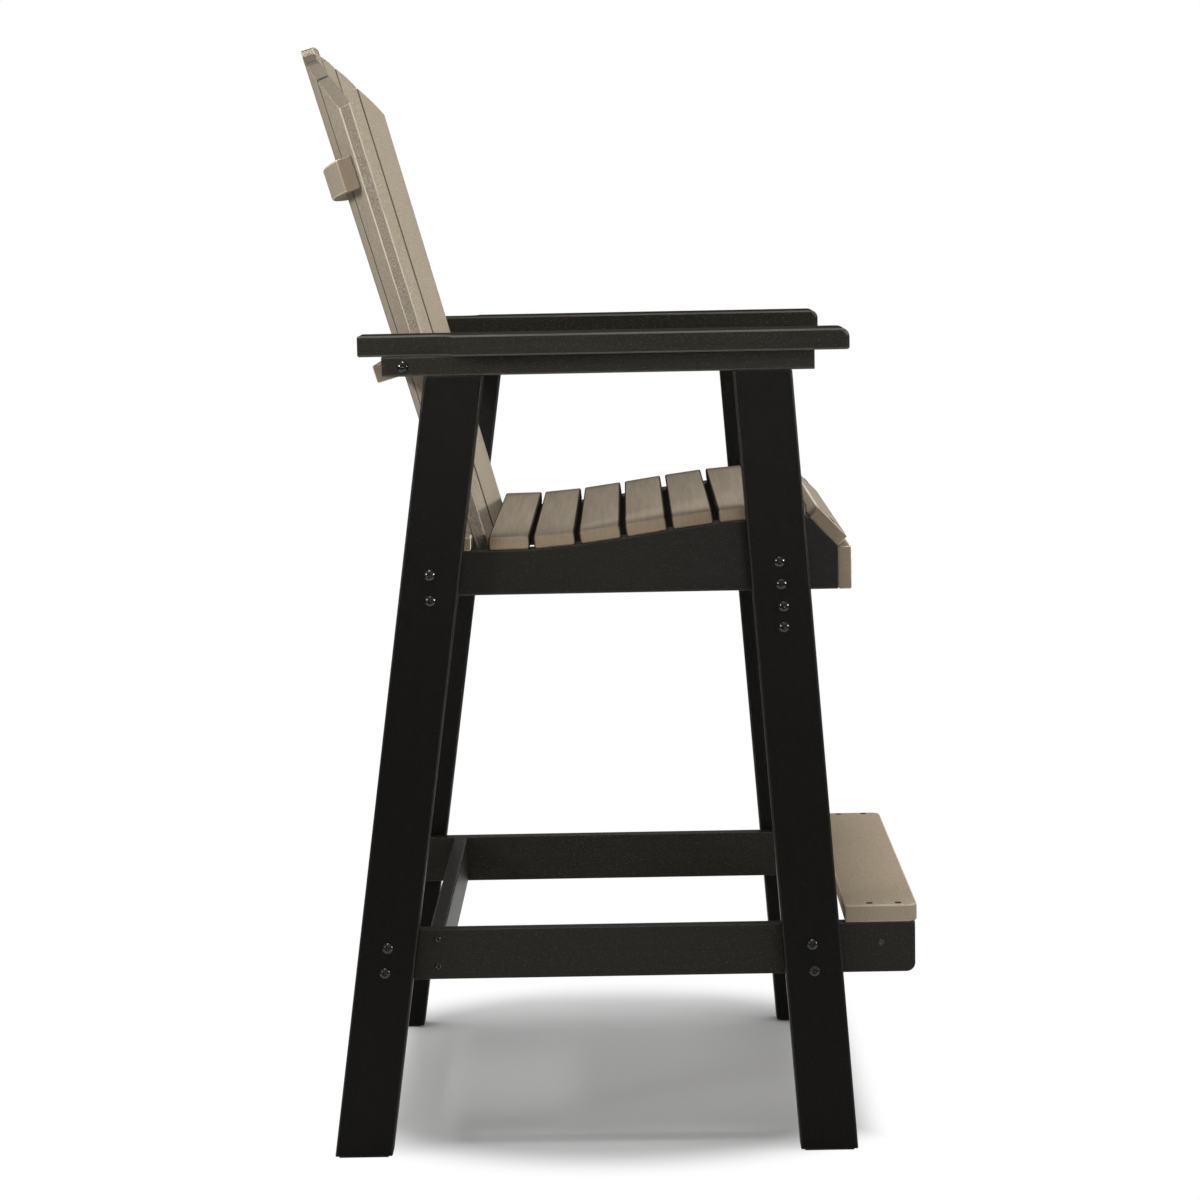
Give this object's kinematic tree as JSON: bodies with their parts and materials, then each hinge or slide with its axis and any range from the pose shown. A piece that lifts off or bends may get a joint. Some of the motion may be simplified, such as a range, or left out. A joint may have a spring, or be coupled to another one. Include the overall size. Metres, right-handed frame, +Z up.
{
  "type": "bar-height armchair with a fan-shaped slatted back and a footrest",
  "caption": "Tall outdoor armchair in dark and light boards: splayed legs, curved slatted back with an arched top, dished slatted seat, flat arms and a footrest on stretchers.",
  "frame": {"origin": "centre of the bounding box at floor level, under the glides", "axes": "+Z up; the sitter faces -Y; +X is the sitter's left, and the chair is symmetric about X = 0"},
  "size_m": [0.694, 0.7492, 1.3627],
  "materials": {
    "frame_board": "black solid plastic lumber with a fine embossed grain and softly rounded edges",
    "slat_board": "weathered taupe solid plastic lumber with a fine speckled grain",
    "bolt": "black coated button heads with hexagonal sockets",
    "screw": "dark coated countersunk screws",
    "glide": "black moulded plastic"
  },
  "bodies": {
    "root": {"leg_front_right": "frame_board", "leg_front_left": "frame_board", "leg_rear_right": "frame_board", "leg_rear_left": "frame_board", "glides": "glide", "arm_right": "frame_board", "arm_left": "frame_board", "arm_rail_right": "frame_board", "arm_rail_left": "frame_board", "seat_rail_right": "frame_board", "seat_rail_left": "frame_board", "rear_seat_cross_rail": "frame_board", "front_leg_brace": "frame_board", "side_stretcher_right": "frame_board", "side_stretcher_left": "frame_board", "rear_stretcher": "frame_board", "footrest_cross_member": "frame_board", "footrest_board": "slat_board", "seat_slat_1": "slat_board", "seat_slat_2": "slat_board", "seat_slat_3": "slat_board", "seat_slat_4": "slat_board", "seat_slat_5": "slat_board", "seat_slat_6": "slat_board", "seat_slat_7": "slat_board", "rear_seat_board": "slat_board", "front_slope_slat": "slat_board", "front_apron_slat": "slat_board", "back_slat_1": "slat_board", "back_slat_2": "slat_board", "back_slat_3": "slat_board", "back_slat_4": "slat_board", "back_slat_5": "slat_board", "back_slat_6": "slat_board", "back_slat_7": "slat_board", "upper_back_rail": "slat_board", "lower_back_rail": "slat_board", "leg_bolts": "bolt", "arm_rail_bolts": "bolt", "footrest_screws": "screw", "stretcher_screws": "screw", "seat_slat_screws": "screw", "front_slat_screws": "screw", "back_slat_screws": "screw", "arm_screws": "screw", "leg_top_screws": "screw", "cross_rail_screws": "screw"}
  },
  "joints": []
}
